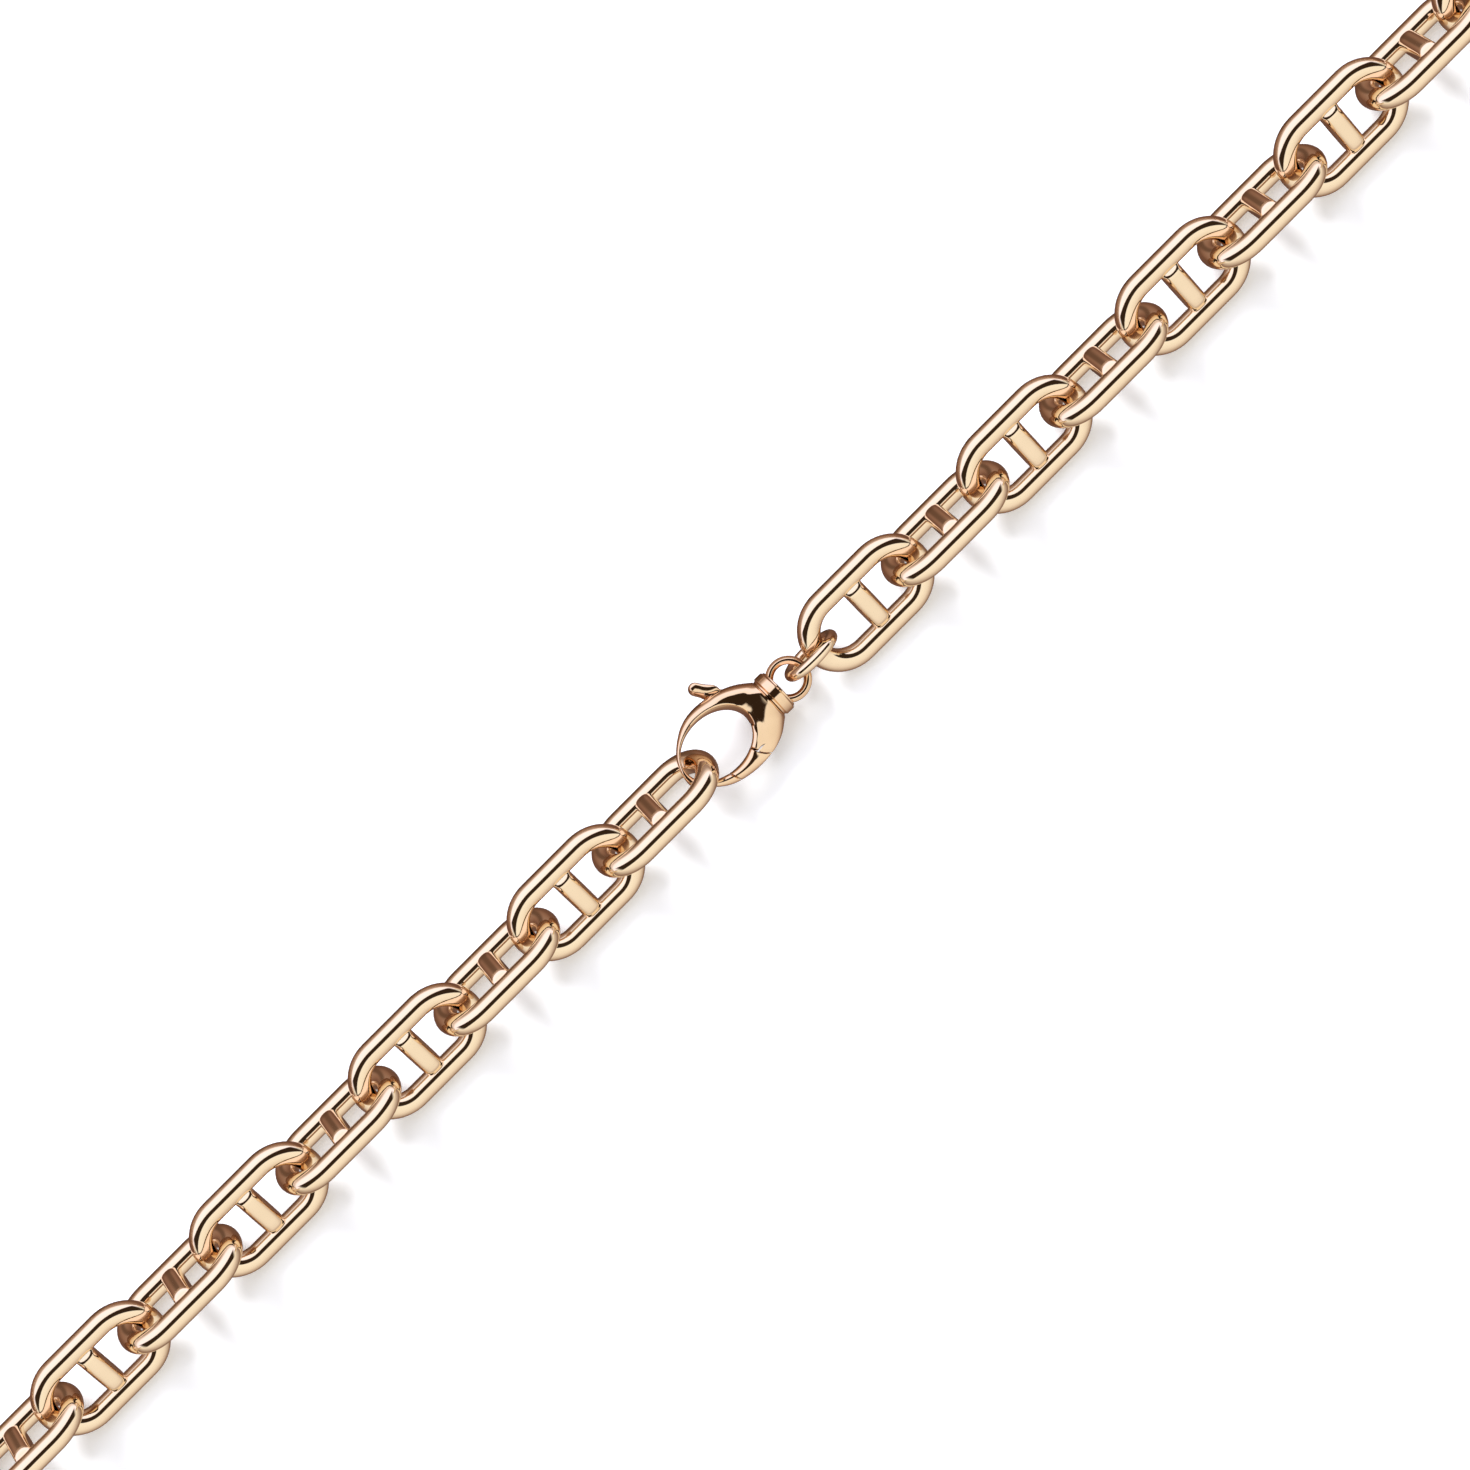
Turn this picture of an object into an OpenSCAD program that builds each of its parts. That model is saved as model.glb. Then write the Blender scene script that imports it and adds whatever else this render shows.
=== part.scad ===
// Mariner (anchor) link chain worn as a necklace, closed with a lobster clasp.
// It lies flat on a surface at Z = 0. The origin is on that surface, under the middle of
// the closed loop. The clasp is on the -Y side, in the middle of the straight stretch.

/* [Links] */
// Number of links, even so that neighbours lean to opposite sides all the way round
link_count = 56; // [56:2:58]
// Diameter of the round wire
wire_d = 1.85; // [1.75:0.01:1.9]
// Outer length of a link
link_l = 12.5; // [12.3:0.1:12.7]
// Outer width of a link
link_w = 7.5; // [7.3:0.1:7.7]
// Play between two links that pull on each other
link_gap = 0.18; // [0.15:0.01:0.2]
// Lean of a link's plane from the surface
link_lean = 45; // [43:0.5:47]
// Width of the stud bar along the link
bar_w = 1.65; // [1.3:0.05:1.9]
// Thickness of the stud bar across the link's plane
bar_t = 1.2; // [1:0.05:1.3]

/* [Loop] */
// Radius of the two corners beside the straight front
corner_r = 22; // [20:1:24]
// Turn of each corner
corner_turn = 135; // [130:1:138]
// Turn of each bowed side
side_turn = 26; // [20:1:28]
// Radius of the middle of the back
back_r = 30; // [28:1:40]

/* [Jump ring] */
// Inner radius of the jump ring
ring_in_r = 1.73; // [1.72:0.01:1.76]
// Diameter of the jump ring's wire
ring_wire_d = 0.92; // [0.85:0.01:0.94]
// Lean of the jump ring from upright, its top towards the front
ring_lean = 26; // [20:1:30]

/* [Clasp] */
// Half length of the oval opening
open_a = 3.12; // [3:0.02:3.2]
// Half width of the oval opening
open_b = 2.31; // [2.25:0.02:2.35]
// Slope of the clasp, its eye lower than its hook
clasp_slope = 2.5; // [2:0.5:3]
// Roll of the clasp, its back edge higher than its front edge
clasp_roll = 12; // [10:1:14]
// Radius of the turned collar
collar_r = 1.85; // [1.8:0.01:1.87]
// Radius of the collar's ends and grooves
groove_r = 1.7; // [1.65:0.01:1.72]
// Outer radius of the eye
eye_r = 1.82; // [1.8:0.01:1.83]
// Radius of the hole in the eye
eye_hole_r = 1.17; // [1.15:0.01:1.18]
// Thickness of the eye
eye_t = 0.95; // [0.9:0.05:1]

/* [Lever] */
// Thickness of the lever's shank in the slot
shank_t = 0.8; // [0.7:0.05:0.85]
// Width of the slot in the clasp
slot_t = 1; // [0.95:0.05:1.1]
// Radius of the hinge pin
pin_r = 0.4; // [0.35:0.01:0.42]
// Running clearance of the lever round the pin
pin_play = 0.05; // [0.03:0.01:0.06]
// Gap at the seams of the gate
seam_gap = 0.1; // [0.08:0.01:0.12]
// Thickness of the thumb tab
tab_d = 1.05; // [1:0.05:1.1]

/* [Hidden] */
gold = "#e0b98a";
deep_gold = "#d1a477";

// The loop, met anticlockwise from the middle of the straight front
pitch = link_l - 2 * wire_d - link_gap;
axis_z = (link_w - wire_d) / 2 * sin(link_lean) + wire_d / 2;
ring_side = 10;                          // from the loop's start to the first joint
hook_side = 4.3;                         // from the last joint to the loop's end
loop_l = ring_side + link_count * pitch + hook_side;
back_turn = 180 - corner_turn - side_turn;
// The side radius and the straight front follow from the length and from closing the loop
turn_sum = corner_turn + side_turn;
rad = PI / 180;
side_r = (loop_l / 2 - corner_r * (corner_turn * rad - sin(corner_turn))
          - back_r * (back_turn * rad + sin(turn_sum)))
         / (side_turn * rad + sin(corner_turn) - sin(turn_sum));
front_half = loop_l / 2 - corner_r * corner_turn * rad - side_r * side_turn * rad
             - back_r * back_turn * rad;
// Each stretch of the route: its radius (0 is straight) and its length
route = [[0, front_half], [corner_r, corner_r * corner_turn * rad],
         [side_r, side_r * side_turn * rad], [back_r, 2 * back_r * back_turn * rad],
         [side_r, side_r * side_turn * rad], [corner_r, corner_r * corner_turn * rad],
         [0, front_half]];

function stretch_end(p, radius, run) =
    radius == 0 ? [p[0] + run * cos(p[2]), p[1] + run * sin(p[2]), p[2]]
    : let (turned = p[2] + run / radius / rad)
      [p[0] + radius * (sin(turned) - sin(p[2])), p[1] + radius * (cos(p[2]) - cos(turned)), turned];
function route_at(run, p = [0, 0, 0], i = 0) =
    i == len(route) - 1 || run <= route[i][1] ? stretch_end(p, route[i][0], run)
    : route_at(run - route[i][1], stretch_end(p, route[i][0], route[i][1]), i + 1);

back_y = route_at(loop_l / 2)[1];
front_y = -back_y / 2 + 0.13;            // the chain's straight axis

// The clasp lies along X. Its own frame has its origin in the middle of the oval opening
clasp_at = [-1.58, 0.46, 2.6];
// Outline of the clasp from nose to collar: x, back edge y, front edge y, half thickness
clasp_rows = [[-3.62, -0.57, -0.66, 0.03], [-3.55, 0, -1.12, 0.2], [-3.37, 0.62, -1.44, 0.32],
              [-3.04, 1.27, -1.64, 0.41], [-2.5, 1.89, -2.04, 0.5], [-1.89, 2.39, -2.58, 0.6],
              [-1.12, 2.87, -3.04, 0.76], [0, 3.22, -3.37, 0.9], [1.19, 3.25, -3.5, 1.1],
              [2.35, 3.07, -3.45, 1.36], [3.5, 2.73, -3.22, 1.62], [4.42, 2.25, -2.8, 1.82],
              [5.1, 1.74, -2.3, 1.86], [5.5, 1.42, -2, 1.78]];
collar_x = 5.4;
collar_axis_y = -0.24;
eye_x = 7.54;
ring_at = [8.46, 0.2, 2.64];             // from the loop's start, on the surface
// Hinge pin and the round seam between body and gate, in the clasp's frame
pin_at = [3.81, -1.58];
pin_l = 2.3;
seam_r = 2.12;
// The straight seam between hook and gate, from the opening outwards
tip_in = [-0.92, -2.46];
tip_out = [-0.46, -3.08];
// The thumb tab, from its root to the middle of its round end
tab_from = [2.28, 3.62];
tab_to = [1.82, 4.27];
tab_l = norm(tab_to - tab_from);
tab_turn = atan2(tab_to[1] - tab_from[1], tab_to[0] - tab_from[0]);

// One closed skin through rings of the same number of points
module skin(rings) {
    n = len(rings[0]);
    m = len(rings);
    polyhedron(
        points = [for (ring = rings) each ring],
        faces = [[for (j = [0:n - 1]) j],
                 for (i = [0:m - 2]) for (j = [0:n - 1]) let (k = (j + 1) % n) each
                     [[i * n + j, (i + 1) * n + j, (i + 1) * n + k], [i * n + j, (i + 1) * n + k, i * n + k]],
                 [for (j = [n - 1:-1:0]) (m - 1) * n + j]]);
}

module link() {
    mid_r = (link_w - wire_d) / 2;
    straight = link_l - link_w;
    for (turned = [0, 180]) rotate(turned) {
        translate([straight / 2, 0, 0])
            rotate_extrude(angle = 180, start = -90, $fn = 40)
                translate([mid_r, 0]) circle(d = wire_d, $fn = 16);
        translate([-straight / 2, mid_r, 0])
            rotate([0, 90, 0]) cylinder(d = wire_d, h = straight, $fn = 16);
    }
    // The stud bar, flat on its faces and round on its sides
    rotate([90, 0, 0])
        linear_extrude(2 * mid_r, center = true) {
            square([bar_w - bar_t, bar_t], center = true);
            for (side = [-1, 1]) translate([side * (bar_w - bar_t) / 2, 0]) circle(d = bar_t, $fn = 16);
        }
}

// Link i lies between two joints of the route and leans left or right in turn
module placed_link(i) {
    from = route_at(ring_side + i * pitch);
    to = route_at(ring_side + (i + 1) * pitch);
    translate([(from[0] + to[0]) / 2, front_y + (from[1] + to[1]) / 2, axis_z])
        rotate([0, 0, atan2(to[1] - from[1], to[0] - from[0])])
            rotate([i % 2 == 0 ? link_lean : -link_lean, 0, 0]) link();
}

module chain_right() {
    color(gold) for (i = [0:link_count / 2 - 1]) placed_link(i);
}

module chain_left() {
    color(gold) for (i = [link_count / 2:link_count - 1]) placed_link(i);
}

module jump_ring() {
    ring_r = ring_in_r + ring_wire_d / 2;
    color(gold) translate(ring_at + [0, front_y, 0])
        rotate([ring_lean - 90, 0, 0])
            rotate_extrude($fn = 48) translate([ring_r, 0]) circle(d = ring_wire_d, $fn = 16);
}

module in_clasp() {
    translate(clasp_at + [0, front_y, 0]) rotate([0, clasp_slope, 0])
        rotate([clasp_roll, 0, 0]) children();
}

// The whole teardrop, with no opening
module teardrop() {
    sides = 24;
    skin([for (row = clasp_rows) [for (j = [0:sides - 1])
        [row[0], (row[1] + row[2]) / 2 + (row[1] - row[2]) / 2 * cos(j * 360 / sides),
         row[3] * sin(j * 360 / sides)]]]);
}

module opening() {
    linear_extrude(6, center = true)
        polygon([for (turned = [0:9:351]) [open_a * cos(turned), open_b * sin(turned)]]);
}

// The part of the plane that belongs to the gate, kept back from both seams by a gap.
// The reach says how far the straight seam runs on into the opening
module gate_zone(gap, reach) {
    along = (tip_out - tip_in) / norm(tip_out - tip_in);
    back = gap * [-along[1], along[0]];
    difference() {
        polygon([tip_in - reach * along + back, tip_out + 2 * along + back, [7, -5], [6.5, -2.6], [0, 0]]);
        translate(pin_at) circle(r = seam_r + gap, $fn = 48);
    }
}

// Room for the shank and the thumb tab over the lever's travel
module slot_room() {
    linear_extrude(slot_t, center = true)
        polygon([[0.8, -1], [1.5, -3.08], [2.3, -3.08], [3.6, -2.85], [4.75, -2.4], [4.98, -1.5],
                 [5.12, -0.1], [5.2, 1], [5.2, 1.7], [5, 2.8], [1.6, 4.2], [1.75, 3.35],
                 [2.15, 2.8], [3, 1.42], [3.42, 0.1], [3.38, -0.45], [2.9, -0.62]]);
}

module clasp_body() {
    color(gold) in_clasp() difference() {
        union() {
            teardrop();
            translate([collar_x, collar_axis_y, 0]) rotate([0, 90, 0]) rotate_extrude($fn = 48)
                polygon([[0, 0], [groove_r, 0], [groove_r, 0.12], [collar_r, 0.24], [collar_r, 0.9],
                         [groove_r, 1.02], [groove_r, 1.12], [0.9, 1.2], [0, 1.2]]);
            translate([eye_x, collar_axis_y, 0]) rotate_extrude($fn = 48)
                polygon([[eye_hole_r, -eye_t / 4], [eye_hole_r + 0.22, -eye_t / 2],
                         [eye_r - 0.22, -eye_t / 2], [eye_r, -eye_t / 4], [eye_r, eye_t / 4],
                         [eye_r - 0.22, eye_t / 2], [eye_hole_r + 0.22, eye_t / 2],
                         [eye_hole_r, eye_t / 4]]);
        }
        opening();
        linear_extrude(6, center = true) gate_zone(0, 1.5);
        slot_room();
        translate([eye_x, collar_axis_y, -1]) cylinder(r = eye_hole_r, h = 2, $fn = 48);
        translate(pin_at) cylinder(r = pin_r + 0.01, h = pin_l + 0.02, center = true, $fn = 32);
    }
}

module clasp_pin() {
    color(deep_gold) in_clasp()
        translate(pin_at) cylinder(r = pin_r, h = pin_l, center = true, $fn = 32);
}

module clasp_lever() {
    color(gold) in_clasp() difference() {
        union() {
            // The gate, cut from the same teardrop
            intersection() {
                difference() {
                    teardrop();
                    opening();
                }
                linear_extrude(6, center = true) gate_zone(seam_gap, -0.1);
            }
            // The shank in the slot, from the gate past the pin to the back edge
            linear_extrude(shank_t, center = true) {
                translate(pin_at) circle(r = 0.95, $fn = 32);
                polygon([[1.55, -2.1], [2.15, -2.92], [3.7, -2.5], [3.7, -0.85], [3.2, -0.95]]);
                polygon([[3.2, -1.6], [3.58, 0.1], [3.17, 1.5], [2.35, 2.85], [1.98, 3.4],
                         [2.25, 3.72], [2.65, 3.8], [3, 3.3], [3.85, 1.9], [4.35, 0.2], [4.5, -1.5]]);
            }
            // The thumb tab, a short cone with a round end
            translate(tab_from) rotate([0, 0, tab_turn - 90]) rotate([-90, 0, 0])
                cylinder(r1 = tab_d / 2 + 0.06, r2 = tab_d / 2, h = tab_l, $fn = 24);
            translate(tab_to) sphere(d = tab_d, $fn = 24);
        }
        translate(pin_at) cylinder(r = pin_r + pin_play, h = 2, center = true, $fn = 32);
    }
}

chain_right();
chain_left();
jump_ring();
clasp_body();
clasp_pin();
clasp_lever();
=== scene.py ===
# Mariner (anchor) link chain worn as a necklace, closed with a lobster clasp
from math import atan2, cos, hypot, pi, radians, sin, sqrt

import bmesh
import bpy
from mathutils import Matrix, Vector


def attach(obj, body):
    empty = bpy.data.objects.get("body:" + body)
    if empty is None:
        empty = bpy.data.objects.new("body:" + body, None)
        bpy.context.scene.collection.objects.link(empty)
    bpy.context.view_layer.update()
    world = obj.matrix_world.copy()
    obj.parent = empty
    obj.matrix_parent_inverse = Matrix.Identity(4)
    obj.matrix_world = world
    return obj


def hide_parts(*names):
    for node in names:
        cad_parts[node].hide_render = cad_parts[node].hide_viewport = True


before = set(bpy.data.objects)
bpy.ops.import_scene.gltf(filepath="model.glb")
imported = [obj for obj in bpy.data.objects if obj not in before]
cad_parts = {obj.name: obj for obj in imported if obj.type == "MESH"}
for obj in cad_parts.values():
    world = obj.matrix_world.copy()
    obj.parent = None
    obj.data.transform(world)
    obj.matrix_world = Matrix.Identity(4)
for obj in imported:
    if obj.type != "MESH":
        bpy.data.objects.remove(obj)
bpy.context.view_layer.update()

print("frame loaded")


# Materials

def linearColour(hexText, alpha=1.0):
    parts = [int(hexText[i:i + 2], 16) / 255 for i in (1, 3, 5)]
    return tuple(p / 12.92 if p <= 0.04045 else ((p + 0.055) / 1.055) ** 2.4 for p in parts) + (alpha,)


def addNode(tree, kind, settings=None, inputs=None, links=None):
    node = tree.nodes.new(kind)
    for name, value in (settings or {}).items():
        setattr(node, name, value)
    for name, value in (inputs or {}).items():
        node.inputs[name].default_value = value
    for name, socket in (links or {}).items():
        tree.links.new(socket, node.inputs[name])
    return node


def fillRamp(node, stops):
    elements = node.color_ramp.elements
    while len(elements) > 1:
        elements.remove(elements[-1])
    elements[0].position, elements[0].color = stops[0]
    for position, colour in stops[1:]:
        elements.new(position).color = colour


goldLook = {
    "tint": "#F9E3C8",          # 18 carat rose gold under neutral light
    "tintWorn": "#F3DDC0",
    "roughLow": 0.045,
    "roughHigh": 0.085,
    "waveMm": 1.6,              # the buffing wheel leaves slow waves about this long
    "waveHeightMm": 0.0016,
    "hairMm": 0.11,             # fine buffing marks, drawn coarser than real ones so that they show
    "hairHeightMm": 0.00012,
}


def polishedGold(name, look):
    # 18 carat rose gold, cast or drawn, then tumbled and buffed: a nearly clean mirror, a
    # little softer where the buff reached less, with slow waves in the reflections
    material = bpy.data.materials.new(name)
    material.use_nodes = True
    tree = material.node_tree
    tree.nodes.clear()
    place = addNode(tree, "ShaderNodeTexCoord")
    slow = addNode(tree, "ShaderNodeTexNoise", None,
                   {"Scale": 1000 / look["waveMm"], "Detail": 2.0, "Roughness": 0.4},
                   {"Vector": place.outputs["Object"]})
    hair = addNode(tree, "ShaderNodeTexNoise", None,
                   {"Scale": 1000 / look["hairMm"], "Detail": 3.0, "Roughness": 0.6},
                   {"Vector": place.outputs["Object"]})
    colour = addNode(tree, "ShaderNodeMix", {"data_type": "RGBA"}, None,
                     {"Factor": slow.outputs["Fac"]})
    colour.inputs["A"].default_value = linearColour(look["tint"])
    colour.inputs["B"].default_value = linearColour(look["tintWorn"])
    rough = addNode(tree, "ShaderNodeMapRange", None,
                    {"From Min": 0.35, "From Max": 0.7, "To Min": look["roughLow"],
                     "To Max": look["roughHigh"]}, {"Value": hair.outputs["Fac"]})
    waves = addNode(tree, "ShaderNodeBump", None,
                    {"Strength": 1.0, "Distance": look["waveHeightMm"] / 1000},
                    {"Height": slow.outputs["Fac"]})
    lines = addNode(tree, "ShaderNodeBump", None,
                    {"Strength": 1.0, "Distance": look["hairHeightMm"] / 1000},
                    {"Height": hair.outputs["Fac"], "Normal": waves.outputs["Normal"]})
    shader = addNode(tree, "ShaderNodeBsdfPrincipled", None, {"Metallic": 1.0},
                     {"Base Color": colour.outputs["Result"], "Roughness": rough.outputs["Result"],
                      "Normal": lines.outputs["Normal"]})
    addNode(tree, "ShaderNodeOutputMaterial", None, None, {"Surface": shader.outputs["BSDF"]})
    return material


wireGold = polishedGold("polishedRoseGoldWire", goldLook)
castLook = {**goldLook, "tint": "#F3D5B6", "tintWorn": "#ECCDAB", "waveMm": 1.1, "waveHeightMm": 0.001}
castGold = polishedGold("polishedRoseGoldCasting", castLook)
print("materials ready")


# Small helpers for the meshes, which are worked in millimetres

def finishPiece(bm, name, body, material, node, sharpAngle=40):
    bmesh.ops.remove_doubles(bm, verts=bm.verts, dist=0.0004)
    bmesh.ops.recalc_face_normals(bm, faces=bm.faces)
    bmesh.ops.scale(bm, vec=(0.001, 0.001, 0.001), verts=bm.verts)
    mesh = bpy.data.meshes.new(name)
    bm.to_mesh(mesh)
    bm.free()
    mesh.shade_smooth()
    if sharpAngle:
        mesh.set_sharp_from_angle(angle=radians(sharpAngle))
    mesh.materials.append(material)
    piece = bpy.data.objects.new(name, mesh)
    bpy.context.scene.collection.objects.link(piece)
    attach(piece, body)
    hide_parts(node)
    print(name, len(mesh.polygons), "faces")
    return piece


def ringOfPoints(bm, points):
    verts = [bm.verts.new(p) for p in points]
    return [bm.edges.new((verts[i - 1], verts[i])) for i in range(len(verts))]


def loft(bm, rings, closed=False):
    # One skin through rings of points, its ends filled unless it runs round
    loops = [ringOfPoints(bm, ring) for ring in rings]
    pairs = list(zip(loops, loops[1:])) + ([(loops[-1], loops[0])] if closed else [])
    for one, two in pairs:
        bmesh.ops.bridge_loops(bm, edges=one + two)
    if not closed:
        for loop in (loops[0], loops[-1]):
            bmesh.ops.contextual_create(bm, geom=loop)


# The chain

chainValues = {
    "linkCount": 56,
    "wireDiameter": 1.85,
    "linkLength": 12.5,
    "linkWidth": 7.5,
    "play": 0.18,               # between two links that pull on each other
    "lean": 45,                 # of a link's plane from the surface, in degrees
    "cornerRadius": 22,
    "cornerTurn": 135,
    "sideTurn": 26,
    "backRadius": 30,
    "ringSide": 10,             # from the middle of the front to the first link
    "hookSide": 4.3,            # from the last link to the middle of the front
    "frontShift": 0.13,
    "wireSides": 28,
    "bendSteps": 28,
    # The stud bar from the low strand to the raised one: place across the link,
    # half width along it, half thickness
    "barRows": [(-2.7, 1.1, 0.5), (-2.3, 0.92, 0.58), (-2.05, 0.84, 0.7), (-1.88, 0.83, 0.88),
                (-1.7, 0.85, 1.01), (-1.5, 0.86, 1.07), (-0.9, 0.87, 1.09), (0, 0.88, 1.1),
                (0.9, 0.88, 1.1), (1.6, 0.88, 1.09), (1.85, 0.89, 1.06), (1.98, 0.91, 0.99),
                (2.12, 0.95, 0.84), (2.28, 1.02, 0.64), (2.5, 1.12, 0.5), (2.7, 1.2, 0.45)],
    "barSides": 28,
    "barSquareness": 2.5,
}


def chainRoute(v):
    # The loop from the middle of the straight front, as radius and length of each stretch
    pitch = v["linkLength"] - 2 * v["wireDiameter"] - v["play"]
    length = v["ringSide"] + v["linkCount"] * pitch + v["hookSide"]
    corner, side = radians(v["cornerTurn"]), radians(v["sideTurn"])
    back = pi - corner - side
    rc, rb = v["cornerRadius"], v["backRadius"]
    rs = ((length / 2 - rc * (corner - sin(corner)) - rb * (back + sin(corner + side)))
          / (side + sin(corner) - sin(corner + side)))
    front = length / 2 - rc * corner - rs * side - rb * back
    return pitch, length, [(0, front), (rc, rc * corner), (rs, rs * side), (rb, 2 * rb * back),
                           (rs, rs * side), (rc, rc * corner), (0, front)]


def routeAt(route, run):
    x, y, heading = 0.0, 0.0, 0.0
    for i, (radius, length) in enumerate(route):
        step = min(run, length) if i < len(route) - 1 else run
        if radius == 0:
            x, y = x + step * cos(heading), y + step * sin(heading)
        else:
            turned = heading + step / radius
            x += radius * (sin(turned) - sin(heading))
            y += radius * (cos(heading) - cos(turned))
            heading = turned
        run -= step
        if run <= 0:
            break
    return x, y


pitch, loopLength, route = chainRoute(chainValues)
frontY = -routeAt(route, loopLength / 2)[1] / 2 + chainValues["frontShift"]
axisZ = ((chainValues["linkWidth"] - chainValues["wireDiameter"]) / 2
         * sin(radians(chainValues["lean"])) + chainValues["wireDiameter"] / 2)


def superPoint(angle, halfWidth, halfHeight, power):
    c, s = cos(angle), sin(angle)
    return (halfWidth * abs(c) ** (2 / power) * (1 if c >= 0 else -1),
            halfHeight * abs(s) ** (2 / power) * (1 if s >= 0 else -1))


def oneLink(v):
    bm = bmesh.new()
    radius = v["wireDiameter"] / 2
    across = (v["linkWidth"] - v["wireDiameter"]) / 2
    straight = (v["linkLength"] - v["linkWidth"]) / 2
    made = bmesh.ops.create_circle(bm, radius=radius, segments=v["wireSides"])
    bmesh.ops.rotate(bm, verts=made["verts"], cent=(0, 0, 0), matrix=Matrix.Rotation(pi / 2, 3, "Y"))
    bmesh.ops.translate(bm, verts=made["verts"], vec=(straight, -across, 0))
    loop = made["verts"] + list({e for vert in made["verts"] for e in vert.link_edges})
    for side in (1, -1):
        turned = bmesh.ops.spin(bm, geom=loop, cent=(side * straight, 0, 0), axis=(0, 0, 1),
                                angle=pi, steps=v["bendSteps"], use_merge=False)
        edges = [g for g in turned["geom_last"] if isinstance(g, bmesh.types.BMEdge)]
        drawn = bmesh.ops.extrude_edge_only(bm, edges=edges)["geom"]
        ends = [g for g in drawn if isinstance(g, bmesh.types.BMVert)]
        bmesh.ops.translate(bm, verts=ends, vec=(-side * 2 * straight, 0, 0))
        loop = ends + [g for g in drawn if isinstance(g, bmesh.types.BMEdge)
                       and g.verts[0] in ends and g.verts[1] in ends]
    rings = []
    for place, halfWidth, halfHeight in v["barRows"]:
        ring = []
        for k in range(v["barSides"]):
            x, z = superPoint(2 * pi * k / v["barSides"], halfWidth, halfHeight, v["barSquareness"])
            ring.append((x, place, z))
        rings.append(ring)
    loft(bm, rings)
    bmesh.ops.remove_doubles(bm, verts=bm.verts, dist=0.001)
    bmesh.ops.recalc_face_normals(bm, faces=bm.faces)
    mesh = bpy.data.meshes.new("oneLink")
    bm.to_mesh(mesh)
    bm.free()
    return mesh


def chainHalf(name, node, numbers, v, link):
    bm = bmesh.new()
    for i in numbers:
        x0, y0 = routeAt(route, v["ringSide"] + i * pitch)
        x1, y1 = routeAt(route, v["ringSide"] + (i + 1) * pitch)
        place = (Matrix.Translation(((x0 + x1) / 2, frontY + (y0 + y1) / 2, axisZ))
                 @ Matrix.Rotation(atan2(y1 - y0, x1 - x0), 4, "Z")
                 @ Matrix.Rotation(radians(v["lean"] if i % 2 == 0 else -v["lean"]), 4, "X"))
        if i % 2:
            place = place @ Matrix.Rotation(pi, 4, "Z")
        placed = link.copy()
        placed.transform(place)
        bm.from_mesh(placed)
        bpy.data.meshes.remove(placed)
    return finishPiece(bm, name, "chain", wireGold, node)


link = oneLink(chainValues)
half = chainValues["linkCount"] // 2
chainHalf("links_right", "chain_right", range(half), chainValues, link)
chainHalf("links_left", "chain_left", range(half, 2 * half), chainValues, link)
bpy.data.meshes.remove(link)
print("chain made")


# The jump ring

ringValues = {"innerRadius": 1.73, "wireDiameter": 0.92, "lean": 26, "at": (8.46, 0.2, 2.64),
              "steps": 72, "sides": 24}


def jumpRing(v):
    bm = bmesh.new()
    made = bmesh.ops.create_circle(bm, radius=v["wireDiameter"] / 2, segments=v["sides"])
    bmesh.ops.rotate(bm, verts=made["verts"], cent=(0, 0, 0), matrix=Matrix.Rotation(pi / 2, 3, "X"))
    bmesh.ops.translate(bm, verts=made["verts"],
                        vec=(v["innerRadius"] + v["wireDiameter"] / 2, 0, 0))
    bmesh.ops.spin(bm, geom=bm.verts[:] + bm.edges[:], cent=(0, 0, 0), axis=(0, 0, 1),
                   angle=2 * pi, steps=v["steps"], use_merge=True)
    bmesh.ops.transform(bm, matrix=Matrix.Translation((v["at"][0], frontY + v["at"][1], v["at"][2]))
                        @ Matrix.Rotation(radians(v["lean"] - 90), 4, "X"), verts=bm.verts)
    return finishPiece(bm, "jump_ring_wire", "chain", wireGold, "jump_ring")


jumpRing(ringValues)
print("jump ring made")


# The clasp, worked in its own frame with the middle of the oval opening at the origin

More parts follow.
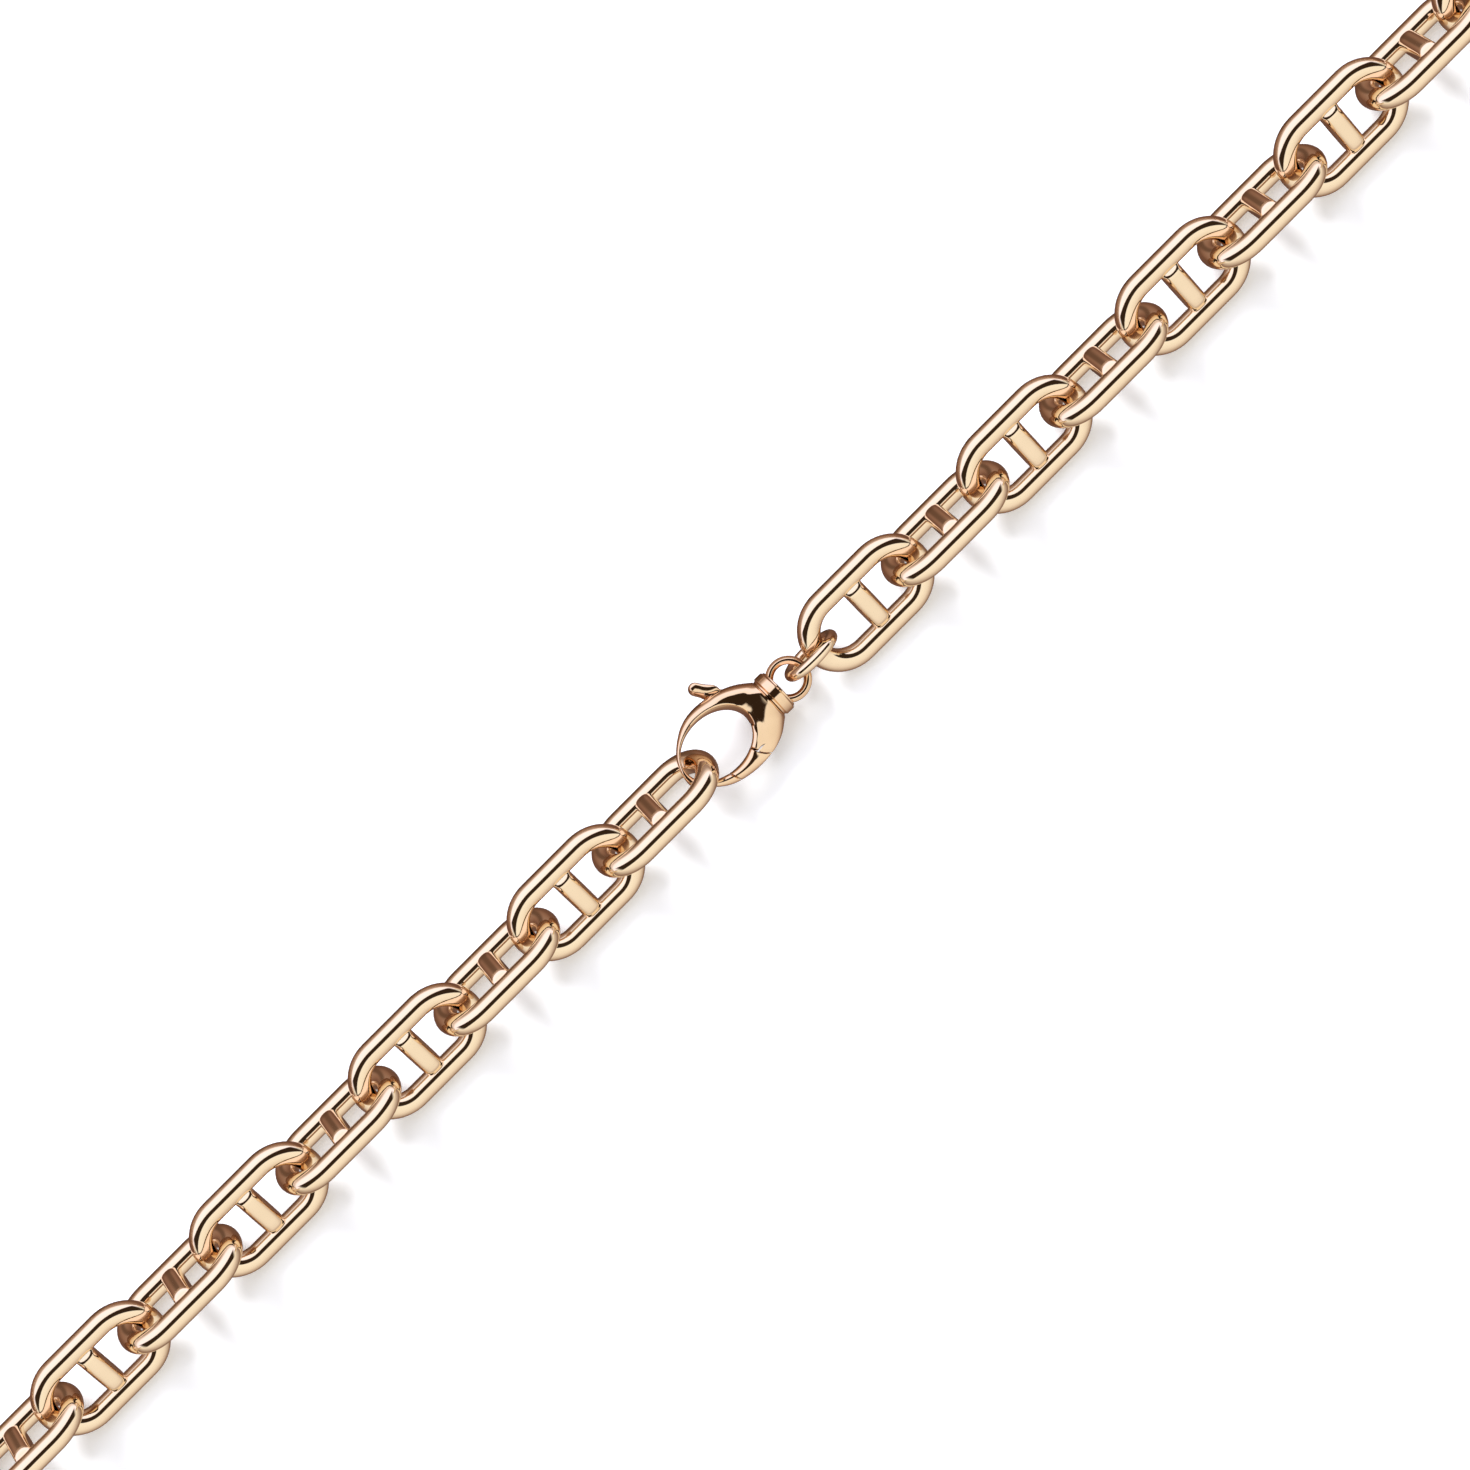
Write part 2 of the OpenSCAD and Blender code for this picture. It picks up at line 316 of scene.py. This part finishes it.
claspValues = {
    "at": (-1.58, 0.46, 2.6),
    "slope": 2.5,
    "roll": 12,
    "openHalfLength": 3.12,
    "openHalfWidth": 2.31,
    # From nose to collar: x, back edge y, front edge y, half thickness
    "rows": [(-3.63, -0.61, -0.62, 0.0), (-3.62, -0.5, -0.72, 0.05), (-3.55, 0, -1.12, 0.2),
             (-3.37, 0.62, -1.44, 0.32), (-3.04, 1.27, -1.64, 0.41), (-2.5, 1.89, -2.04, 0.5),
             (-1.89, 2.39, -2.58, 0.6), (-1.12, 2.87, -3.04, 0.76), (0, 3.22, -3.37, 0.9),
             (1.19, 3.25, -3.5, 1.1), (2.35, 3.07, -3.45, 1.36), (3.5, 2.73, -3.22, 1.62),
             (4.42, 2.25, -2.8, 1.82), (5.1, 1.74, -2.3, 1.86), (5.6, 1.34, -1.92, 1.76)],
    # Where the crest runs, from the middle (0) to the back edge (1)
    "crest": [(-3.63, 0.2), (0, 0.2), (1.2, 0.45), (2.35, 0.66), (3.1, 0.6), (3.88, 0.46),
              (4.65, 0.32), (5.6, 0.22)],
    "fullness": 2.35,           # 2 is an ellipse across, more is fuller
    "endX": 5.44,
    "endRound": 0.3,
    # Rounding of the opening's edge: turn round the opening in degrees, width
    "edgeRound": [(-120, 0.65), (-60, 0.65), (-20, 0.5), (20, 0.5), (60, 0.44), (90, 0.42),
                  (180, 0.36), (260, 0.36)],
    # Where the metal is a plain dome across: turn, share of the dome, its crest from the
    # opening (0) to the outline (1)
    "domes": [(-130, 1, 0.42), (-75, 1, 0.42), (-52, 0, 0.4), (45, 0, 0.3), (75, 1, 0.3),
              (120, 1, 0.27), (180, 1, 0.4), (262, 1, 0.4)],
    "collarX": 5.4,
    "axisY": -0.24,
    "eyeX": 7.54,
    "pin": (3.81, -1.58),
    "seamEase": 0.78,           # how much lower the metal is at the two seams of the gate
    # Where the shell and the gate begin and end: turns at the opening and at the outline
    "shellFrom": (-46.6, -51.0),
    "shellTo": (249.5, 261.5),
    "shellSteps": 150,
    "gateFrom": (-48.4, -52.0),
    "gateTo": (-109.5, -97.7),
    "gateSteps": 44,
    "seamBulge": 0.2,           # the seam between shoulder and gate is a shallow arc
    "bulgeSteps": 12,
    # The strip beside the opening that is cut away, so that the lever's shank shows
    "stripTurns": (-60, -11, 4),
    "stripLip": 0.93,
    "stripWidth": 0.4,
    "stripFrom": 0.45,
    "stripTo": 3,
    "slotThickness": 1.0,
    "slotRoom": [(0.8, -1), (1.45, -2.35), (1.95, -2.62), (3.4, -2.5), (4.5, -2.2), (4.98, -1.4),
                 (5.12, -0.1), (5.2, 1), (5.2, 1.7), (5, 2.8), (1.6, 4.2), (1.75, 3.35),
                 (2.15, 2.8), (3, 1.42), (3.42, 0.1), (3.38, -0.45), (2.9, -0.62)],
    # The lever inside the shell: its rim along the opening, its shank and its hub
    "leverHalfThickness": 0.4,
    "rimTurns": (-50, -13, 4),
    "rimOverhang": 1.01,
    "rimBack": [(3.75, -0.9), (3.5, -2.35), (1.95, -2.5)],
    "rimBevel": 0.36,
    "shank": [(3.2, -1.6), (3.58, 0.1), (3.17, 1.5), (2.35, 2.85), (1.98, 3.4), (2.25, 3.72),
              (2.65, 3.8), (3, 3.3), (3.85, 1.9), (4.35, 0.2), (4.5, -1.5)],
    "shankBevel": 0.08,
    "hubProfile": [(0.45, -0.4), (0.95, -0.4), (0.95, 0.4), (0.45, 0.4)],
    # The thumb tab, from its root to the middle of its round end
    "tabRoot": (2.61, 3.02),
    "tabEnd": (1.82, 4.27),
    "tabWidth": 1.3,
    "tabThick": 0.68,
    "tabTurn": 45,
    "tabRound": 0.54,
    "tabSides": 40,
    # Along the tab: distance from the root, shares of its width and thickness
    "tabRows": [(-0.5, 0.8, 0.8), (-0.15, 1.2, 1.0), (0.15, 1.3, 1.05), (0.5, 1.18, 1.05),
                (0.85, 1.05, 1.02), (1.15, 1.0, 1.0)],
    "pinRadius": 0.4,
    "pinHalfLength": 0.9,       # short enough to stay inside the metal
    "acrossEdge": 9,
    "across": 18,
}


def curveThrough(table, x):
    # A smooth curve through the rows of a table: Hermite pieces with averaged slopes
    n = len(table)
    if x <= table[0][0]:
        return table[0][1:]
    if x >= table[-1][0]:
        return table[-1][1:]
    i = max(k for k in range(n - 1) if table[k][0] <= x)
    x0, x1 = table[i][0], table[i + 1][0]
    t = (x - x0) / (x1 - x0)
    values = []
    for c in range(1, len(table[0])):
        def slope(k):
            if k == 0 or k == n - 1:
                a, b = (0, 1) if k == 0 else (n - 2, n - 1)
                return (table[b][c] - table[a][c]) / (table[b][0] - table[a][0])
            left = (table[k][c] - table[k - 1][c]) / (table[k][0] - table[k - 1][0])
            right = (table[k + 1][c] - table[k][c]) / (table[k + 1][0] - table[k][0])
            wl, wr = table[k + 1][0] - table[k][0], table[k][0] - table[k - 1][0]
            return (left * wl + right * wr) / (wl + wr)
        m0, m1 = slope(i) * (x1 - x0), slope(i + 1) * (x1 - x0)
        y0, y1 = table[i][c], table[i + 1][c]
        values.append((2 * t ** 3 - 3 * t ** 2 + 1) * y0 + (t ** 3 - 2 * t ** 2 + t) * m0
                      + (3 * t ** 2 - 2 * t ** 3) * y1 + (t ** 3 - t ** 2) * m1)
    return values


def claspRow(v, x):
    # Back edge, front edge and half thickness. The root keeps the nose round
    noseX = v["rows"][0][0]
    table = [(sqrt(row[0] - noseX),) + row[1:] for row in v["rows"]]
    return curveThrough(table, sqrt(max(x - noseX, 0)))


def insideOutline(v, x, y):
    if x <= v["rows"][0][0] or x >= v["endX"]:
        return False
    back, front, _ = claspRow(v, x)
    return front < y < back


def innerPoint(v, turn):
    c, s = cos(radians(turn)), sin(radians(turn))
    r = 1 / sqrt((c / v["openHalfLength"]) ** 2 + (s / v["openHalfWidth"]) ** 2)
    return r * c, r * s


def outerPoint(v, turn):
    c, s = cos(radians(turn)), sin(radians(turn))
    low, high = 2.5, 8.0
    for _ in range(40):
        middle = (low + high) / 2
        if insideOutline(v, middle * c, middle * s):
            low = middle
        else:
            high = middle
    return low * c, low * s


def claspHeight(v, x, y):
    back, front, thickness = claspRow(v, x)
    t = (y - (back + front) / 2) / max((back - front) / 2, 0.01)
    t = min(max(t, -1.0), 1.0)
    crest = curveThrough(v["crest"], x)[0]
    t = (t - crest) / (1 - crest * t)
    height = thickness * sqrt(max(0.0, 1 - abs(t) ** v["fullness"]))
    left = (v["endX"] - x) / v["endRound"]
    if left < 1:
        height *= sqrt(max(0.0, 1 - (1 - max(left, 0)) ** 2))
    return height


def claspSection(v, innerTurn, outerTurn, bulge=0.0):
    # A closed ring of points across the metal, from the opening to the outline and back
    x0, y0 = innerPoint(v, innerTurn)
    x1, y1 = outerPoint(v, outerTurn)
    length = hypot(x1 - x0, y1 - y0)
    edge = min(curveThrough(v["edgeRound"], (innerTurn + outerTurn) / 2)[0], length * 0.45)
    runs = [edge * (1 - cos(pi / 2 * k / v["acrossEdge"])) for k in range(v["acrossEdge"])]
    runs += [edge + (length - edge) * sin(pi / 2 * k / v["across"]) for k in range(v["across"] + 1)]
    dome, domeAt = curveThrough(v["domes"], (innerTurn + outerTurn) / 2)
    peak = max(claspHeight(v, x0 + (x1 - x0) * k / 12, y0 + (y1 - y0) * k / 12) for k in range(13))
    top = []
    for run in runs:
        s = run / length
        x = x0 + (x1 - x0) * s + bulge * 4 * s * (1 - s) * (y1 - y0) / length
        y = y0 + (y1 - y0) * s - bulge * 4 * s * (1 - s) * (x1 - x0) / length
        z = claspHeight(v, x, y)
        if run < edge:
            z *= sqrt(1 - (1 - run / edge) ** 2)
        off = (domeAt - s) / domeAt if s < domeAt else (s - domeAt) / (1 - domeAt)
        z = (1 - dome) * z + dome * peak * sqrt(max(0.0, 1 - off * off))
        top.append((x, y, z))
    top[0] = top[0][:2] + (0,)
    top[-1] = top[-1][:2] + (0,)
    return top + [(x, y, -z) for x, y, z in reversed(top[1:-1])]


def easedEnd(ring, share):
    # A lower ring, which slopes the end of a loft down to the seam
    return [(x, y, z * share) for x, y, z in ring]


def claspMatrix(v):
    return (Matrix.Translation((v["at"][0], frontY + v["at"][1], v["at"][2]))
            @ Matrix.Rotation(radians(v["slope"]), 4, "Y") @ Matrix.Rotation(radians(v["roll"]), 4, "X"))


def plate(bm, outline, low, high, bevel=0.0):
    # A flat outline pulled up to a plate, its edges eased
    verts = [bm.verts.new((x, y, low)) for x, y in outline]
    face = bm.faces.new(verts)
    pulled = bmesh.ops.extrude_face_region(bm, geom=[face])["geom"]
    tops = [g for g in pulled if isinstance(g, bmesh.types.BMVert)]
    bmesh.ops.translate(bm, verts=tops, vec=(0, 0, high - low))
    if bevel:
        edges = list({e for vert in verts + tops for e in vert.link_edges
                      if (e.verts[0] in tops) == (e.verts[1] in tops)})
        bmesh.ops.bevel(bm, geom=edges, offset=bevel, offset_type="OFFSET", segments=4,
                        profile=0.5, affect="EDGES", material=-1)


def cutAway(bm, cutter):
    # One shape cut from the other, both closed, by an applied Boolean
    objects = []
    for shape in (bm, cutter):
        bmesh.ops.recalc_face_normals(shape, faces=shape.faces)
        mesh = bpy.data.meshes.new("cutting")
        shape.to_mesh(mesh)
        objects.append(bpy.data.objects.new("cutting", mesh))
        bpy.context.scene.collection.objects.link(objects[-1])
    cutter.free()
    cut = objects[0].modifiers.new("cut", "BOOLEAN")
    cut.operation, cut.solver, cut.object = "DIFFERENCE", "EXACT", objects[1]
    result = bpy.data.meshes.new_from_object(
        objects[0].evaluated_get(bpy.context.evaluated_depsgraph_get()))
    bm.clear()
    bm.from_mesh(result)
    for item in objects:
        mesh = item.data
        bpy.data.objects.remove(item)
        bpy.data.meshes.remove(mesh)
    bpy.data.meshes.remove(result)


def turnedShape(profile, steps=72):
    bm = bmesh.new()
    verts = [bm.verts.new((r, 0, h)) for r, h in profile]
    ring = verts + [verts[0]] if profile[0][0] > 0 else verts
    edges = [bm.edges.new(pair) for pair in zip(ring, ring[1:])]
    bmesh.ops.spin(bm, geom=verts + edges, cent=(0, 0, 0), axis=(0, 0, 1), angle=2 * pi,
                   steps=steps, use_merge=True)
    bmesh.ops.remove_doubles(bm, verts=bm.verts, dist=0.0005)
    return bm


def joinInto(bm, other, matrix):
    mesh = bpy.data.meshes.new("joining")
    bmesh.ops.transform(other, matrix=matrix, verts=other.verts)
    other.to_mesh(mesh)
    other.free()
    bm.from_mesh(mesh)
    bpy.data.meshes.remove(mesh)


def roundedProfile(points, radius, closed, steps=3):
    # Each corner of a profile replaced by a short arc
    result = []
    n = len(points)
    for i, p in enumerate(points):
        if not closed and i in (0, n - 1):
            result.append(p)
            continue
        a, b = Vector(points[i - 1]), Vector(points[(i + 1) % n])
        here = Vector(p)
        da, db = a - here, b - here
        reach = min(radius, da.length * 0.45, db.length * 0.45)
        pa, pb = here + da.normalized() * reach, here + db.normalized() * reach
        for k in range(steps + 1):
            t = k / steps
            result.append(tuple(pa * (1 - t) ** 2 + here * 2 * t * (1 - t) + pb * t ** 2))
    return result


collarProfile = [(0, 0), (1.7, 0), (1.7, 0.12), (1.85, 0.24), (1.85, 0.9), (1.7, 1.02),
                 (1.7, 1.12), (0.9, 1.2), (0, 1.2)]
eyeProfile = [(1.17, -0.2375), (1.39, -0.475), (1.6, -0.475), (1.82, -0.2375), (1.82, 0.2375),
              (1.6, 0.475), (1.39, 0.475), (1.17, 0.2375)]


def sectionsBetween(v, start, end, steps):
    # Sections of the clasp from one pair of turns to the other, the first few bulging
    rings = []
    for k in range(steps + 1):
        f = k / steps
        rings.append(claspSection(v, start[0] + (end[0] - start[0]) * f,
                                  start[1] + (end[1] - start[1]) * f,
                                  v["seamBulge"] * max(0.0, 1 - k / v["bulgeSteps"])))
    rings[0], rings[-1] = (easedEnd(rings[i], v["seamEase"]) for i in (0, -1))
    return rings


def shankWindow(v):
    # The outline of the strip, which narrows to nothing at its inner end
    strip = [innerPoint(v, turn) for turn in range(*v["stripTurns"])]
    lip = [(x * v["stripLip"], y * v["stripLip"]) for x, y in strip]
    far = []
    for k, (x, y) in enumerate(strip):
        length = hypot(x, y)
        reach = v["stripWidth"] * sqrt(max(0.0, 1 - max(0, k - len(strip) + 4) ** 2 / 9))
        far.append((x * (1 + reach / length), y * (1 + reach / length)))
    return lip + far[::-1]


def claspBody(v):
    bm = bmesh.new()
    loft(bm, sectionsBetween(v, v["shellFrom"], v["shellTo"], v["shellSteps"]))
    cutter = bmesh.new()
    plate(cutter, v["slotRoom"], -v["slotThickness"] / 2, v["slotThickness"] / 2)
    cutAway(bm, cutter)
    cutter = bmesh.new()
    plate(cutter, shankWindow(v), v["stripFrom"], v["stripTo"])
    cutAway(bm, cutter)
    joinInto(bm, turnedShape(roundedProfile(collarProfile, 0.06, False)),
             Matrix.Translation((v["collarX"], v["axisY"], 0)) @ Matrix.Rotation(pi / 2, 4, "Y"))
    joinInto(bm, turnedShape(roundedProfile(eyeProfile, 0.05, True)),
             Matrix.Translation((v["eyeX"], v["axisY"], 0)))
    bmesh.ops.transform(bm, matrix=claspMatrix(v), verts=bm.verts)
    return finishPiece(bm, "clasp_shell", "chain", castGold, "clasp_body", 32)


def thumbTab(v):
    bm = bmesh.new()
    root, end = Vector(v["tabRoot"]), Vector(v["tabEnd"])
    along = (end - root).normalized()
    sideways = Vector((-along.y, along.x))
    stations = list(v["tabRows"])
    reach = (end - root).length
    for k in range(9):
        a = pi / 2 * k / 8.3
        stations.append((reach + v["tabRound"] * sin(a) - 0.02, cos(a), cos(a)))
    turned = radians(v["tabTurn"])
    rings = []
    for run, wide, thick in stations:
        centre = root + along * run
        ring = []
        for k in range(v["tabSides"]):
            angle = 2 * pi * k / v["tabSides"]
            a = v["tabWidth"] / 2 * wide * cos(angle)
            b = v["tabThick"] / 2 * thick * sin(angle)
            across = a * cos(turned) + b * sin(turned)
            ring.append((centre.x + sideways.x * across, centre.y + sideways.y * across,
                         b * cos(turned) - a * sin(turned)))
        rings.append(ring)
    loft(bm, rings)
    return bm


def claspLever(v):
    bm = bmesh.new()
    loft(bm, sectionsBetween(v, v["gateFrom"], v["gateTo"], v["gateSteps"]))
    half = v["leverHalfThickness"]
    rim = [innerPoint(v, turn) for turn in range(*v["rimTurns"])]
    plate(bm, [(x * v["rimOverhang"], y * v["rimOverhang"]) for x, y in rim] + v["rimBack"],
          -half, half, v["rimBevel"])
    plate(bm, v["shank"], -half, half, v["shankBevel"])
    joinInto(bm, turnedShape(roundedProfile(v["hubProfile"], 0.03, True), 48),
             Matrix.Translation((*v["pin"], 0)))
    joinInto(bm, thumbTab(v), Matrix.Identity(4))
    bmesh.ops.transform(bm, matrix=claspMatrix(v), verts=bm.verts)
    return finishPiece(bm, "gate_and_lever", "lever", castGold, "clasp_lever", 32)


def hingePin(v):
    radius, half = v["pinRadius"], v["pinHalfLength"]
    profile = [(0, -half), (radius, -half), (radius, half), (0, half)]
    bm = turnedShape(roundedProfile(profile, 0.05, False), 48)
    bmesh.ops.transform(bm, matrix=claspMatrix(v) @ Matrix.Translation((*v["pin"], 0)), verts=bm.verts)
    return finishPiece(bm, "hinge_pin", "chain", castGold, "clasp_pin", 32)


claspBody(claspValues)
claspLever(claspValues)
hingePin(claspValues)
print("clasp made")


# The floor, the light round it and the camera

stageValues = {
    "floorSize": 6.0,
    "floorTint": "#F1F4F8",
    "floorGlow": 0.27,          # painted light: the floor itself glows, as on a light table, which lifts the shadows on it
    "keyPower": 72.0,
    "keySize": 1.3,
    "keyDistance": 3.0,
    "keyHeight": 38,
    "fillPower": 14.0,
    "fillSize": 3.0,
    "fillHeight": 2.5,
    # Light that the gold mirrors: turn round the chain's line in degrees, 0 towards the
    # camera and 90 towards the back, then red, green and blue.
    "levels": [(-180, (0.15, 0.08, 0.06)), (-140, (0.3, 0.2, 0.15)), (-113, (0.62, 0.53, 0.46)),
               (-97, (0.78, 0.7, 0.62)), (-84, (0.9, 0.83, 0.74)), (-71, (0.97, 0.93, 0.84)),
               (-45, (1.05, 1.03, 0.94)), (0, (1.1, 1.1, 1.05)), (45, (1.3, 1.26, 1.48)),
               (72, (1.3, 1.22, 1.42)), (82, (0.85, 0.74, 0.72)), (92, (0.45, 0.34, 0.3)),
               (104, (0.36, 0.24, 0.19)), (122, (0.3, 0.17, 0.12)), (142, (0.18, 0.09, 0.06)),
               (180, (0.15, 0.08, 0.06))],
    "brightest": 1.7,           # the ramp holds the levels divided by this
    # The dark card round the lens, in degrees
    "cardHalfWidth": 17.3,
    "cardSoftness": 2,
    "cardEnd": 78,
    "cardEndSoftness": 7,
    "cardColour": (0.02, 0.012, 0.007, 1),
    # The darker stretch of floor behind the chain
    "behindFrom": 98,
    "behindTo": 112,
    "behindNarrow": 0.05,
    "behindWide": 0.35,
    "behindAmount": 0.6,
    "behindColour": (0.03, 0.015, 0.007, 1),
    "viewFromFront": 14.4,      # the camera leans this far from straight above
    "cameraDistance": 0.4712,
    "lens": 150,
}


def paleFloor(v):
    bm = bmesh.new()
    bmesh.ops.create_grid(bm, x_segments=2, y_segments=2, size=v["floorSize"] / 2)
    mesh = bpy.data.meshes.new("floor")
    bm.to_mesh(mesh)
    bm.free()
    floor = bpy.data.objects.new("floor", mesh)
    bpy.context.scene.collection.objects.link(floor)
    floor.visible_glossy = False      # the gold mirrors the world instead
    # Matt paper sweep, its grain too fine to see. It also glows evenly: painted light that lifts the
    # shadows on it
    paper = bpy.data.materials.new("mattPaperPaintedGlow")
    paper.use_nodes = True
    shader = paper.node_tree.nodes["Principled BSDF"]
    shader.inputs["Base Color"].default_value = linearColour(v["floorTint"])
    shader.inputs["Roughness"].default_value = 1.0
    shader.inputs["Specular IOR Level"].default_value = 0.0
    # The emission is painted light: it lightens the floor's shadows and the gaps between the links
    shader.inputs["Emission Color"].default_value = (1, 1, 1, 1)
    shader.inputs["Emission Strength"].default_value = v["floorGlow"]
    mesh.materials.append(paper)


def softLight(name, size, power, towards, distance):
    data = bpy.data.lights.new(name, "AREA")
    data.shape, data.size, data.energy = "DISK", size, power
    light = bpy.data.objects.new(name, data)
    light.location = Vector((0, frontY / 1000, 0)) + towards * distance
    light.rotation_euler = towards.to_track_quat("Z", "Y").to_euler()
    light.visible_glossy = False      # the gold mirrors the world instead
    light.visible_camera = False
    bpy.context.scene.collection.objects.link(light)


def studioWorld(v):
    # Soft light that changes with the turn round the chain's line, and a dark card round the lens
    world = bpy.data.worlds.new("studio")
    bpy.context.scene.world = world
    world.use_nodes = True
    tree = world.node_tree
    tree.nodes.clear()
    lean = radians(v["viewFromFront"])
    place = addNode(tree, "ShaderNodeTexCoord")

    def along(direction):
        return addNode(tree, "ShaderNodeVectorMath", {"operation": "DOT_PRODUCT"},
                       {1: direction}, {0: place.outputs["Generated"]}).outputs["Value"]

    def maths(operation, *values):
        node = addNode(tree, "ShaderNodeMath", {"operation": operation})
        for i, value in enumerate(values):
            if isinstance(value, (int, float)):
                node.inputs[i].default_value = value
            else:
                tree.links.new(value, node.inputs[i])
        return node.outputs["Value"]

    toCamera = along((0, -sin(lean), cos(lean)))
    toBack = along((0, cos(lean), sin(lean)))
    toRight = along((1, 0, 0))
    turn = maths("ARCTAN2", toBack, toCamera)              # -pi to pi round the chain's line
    place01 = maths("ADD", maths("DIVIDE", turn, 2 * pi), 0.5)
    ramp = addNode(tree, "ShaderNodeValToRGB", None, None, {"Fac": place01})
    most = v["brightest"]
    fillRamp(ramp, [((a + 180) / 360, (r / most, g / most, b / most, 1)) for a, (r, g, b) in v["levels"]])
    # The dark card round the lens, a strip along the chain's line that ends to each side
    sideTurn = maths("ABSOLUTE", maths("ARCTAN2", toRight, toCamera))
    inStrip = addNode(tree, "ShaderNodeMapRange", {"interpolation_type": "SMOOTHSTEP"},
                      {"From Min": sin(radians(v["cardHalfWidth"] + v["cardSoftness"])),
                       "From Max": sin(radians(v["cardHalfWidth"] - v["cardSoftness"]))},
                      {"Value": maths("ABSOLUTE", toBack)})
    withinEnds = addNode(tree, "ShaderNodeMapRange", {"interpolation_type": "SMOOTHSTEP"},
                         {"From Min": radians(v["cardEnd"] + v["cardEndSoftness"]),
                          "From Max": radians(v["cardEnd"] - v["cardEndSoftness"])},
                         {"Value": sideTurn})
    amount = maths("MULTIPLY", inStrip.outputs["Result"], withinEnds.outputs["Result"])
    # A darker stretch of floor straight behind the chain
    lowBack = addNode(tree, "ShaderNodeMapRange", {"interpolation_type": "SMOOTHSTEP"},
                      {"From Min": v["behindWide"], "From Max": v["behindNarrow"]},
                      {"Value": maths("ABSOLUTE", toRight)})
    atBack = addNode(tree, "ShaderNodeMapRange", {"interpolation_type": "SMOOTHSTEP"},
                     {"From Min": radians(v["behindFrom"]), "From Max": radians(v["behindTo"])},
                     {"Value": turn})
    behind = maths("MULTIPLY", lowBack.outputs["Result"], atBack.outputs["Result"])
    shade = maths("MULTIPLY", behind, v["behindAmount"])
    dimmed = addNode(tree, "ShaderNodeMix", {"data_type": "RGBA"}, None, {"Factor": shade})
    tree.links.new(ramp.outputs["Color"], dimmed.inputs["A"])
    dimmed.inputs["B"].default_value = v["behindColour"]
    mixed = addNode(tree, "ShaderNodeMix", {"data_type": "RGBA"}, None, {"Factor": amount})
    tree.links.new(dimmed.outputs["Result"], mixed.inputs["A"])
    mixed.inputs["B"].default_value = v["cardColour"]
    background = addNode(tree, "ShaderNodeBackground", None, {"Strength": most},
                         {"Color": mixed.outputs["Result"]})
    addNode(tree, "ShaderNodeOutputWorld", None, None, {"Surface": background.outputs["Background"]})


def camera(v):
    data = bpy.data.cameras.new("camera")
    data.lens, data.sensor_width, data.sensor_fit = v["lens"], 36, "HORIZONTAL"
    data.clip_start, data.clip_end = 0.01, 20
    lean = radians(v["viewFromFront"])
    back = Vector((0, -sin(lean), cos(lean)))
    right = Vector((1, -cos(lean), -sin(lean))) / sqrt(2)
    up = Vector((1, cos(lean), sin(lean))) / sqrt(2)
    target = Vector((0, frontY - 0.08, axisZ)) / 1000
    place = Matrix((right, up, back)).transposed().to_4x4()
    place.translation = target + back * v["cameraDistance"]
    view = bpy.data.objects.new("camera", data)
    view.matrix_world = place
    bpy.context.scene.collection.objects.link(view)
    bpy.context.scene.camera = view


paleFloor(stageValues)
keyHeight = radians(stageValues["keyHeight"])
softLight("softKey", stageValues["keySize"], stageValues["keyPower"],
          Vector((0, cos(keyHeight), sin(keyHeight))), stageValues["keyDistance"])
softLight("overheadFill", stageValues["fillSize"], stageValues["fillPower"], Vector((0, 0, 1)),
          stageValues["fillHeight"])
studioWorld(stageValues)
camera(stageValues)
bpy.context.scene.view_settings.view_transform = "Standard"
print("stage ready")
